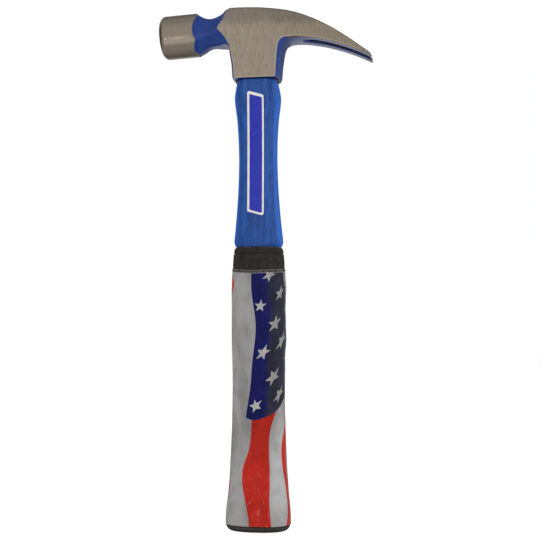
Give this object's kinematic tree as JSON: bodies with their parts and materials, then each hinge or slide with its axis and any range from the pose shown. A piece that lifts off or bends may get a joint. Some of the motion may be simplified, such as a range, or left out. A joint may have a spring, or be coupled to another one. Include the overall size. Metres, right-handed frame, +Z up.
{
  "type": "rip claw hammer",
  "caption": "Straight-claw hand hammer: forged steel head with a bell face and nail-slot claw, epoxied to a waisted fibreglass handle with a wrapped rubber cushion grip.",
  "frame": {"origin": "centre of the flat butt of the grip", "axes": "+Z up along the handle from the butt to the head, -X towards the striking face, +X towards the claw, Y across the thickness of the head"},
  "size_m": [0.1365, 0.031, 0.33],
  "materials": {
    "head_steel": "ground cheeks and turned bell, blue enamel on the forged surfaces",
    "epoxy": "cured amber adhesive",
    "seal": "brown adhesive-stained ring",
    "core_fibreglass": "pultruded glass-fibre rod",
    "jacket_plastic": "satin, fibre-streaked",
    "label_vinyl": "plain blue field with a white edge",
    "grip_rubber": "matte moulded",
    "wrap_film": "glossy printed shrink film"
  },
  "bodies": {
    "root": {"hammer_head": "head_steel", "eye_epoxy": "epoxy", "eye_seal": "seal", "handle_core": "core_fibreglass", "handle_jacket": "jacket_plastic", "handle_label": "label_vinyl", "grip_sleeve": "grip_rubber", "grip_wrap": "wrap_film"}
  },
  "joints": []
}
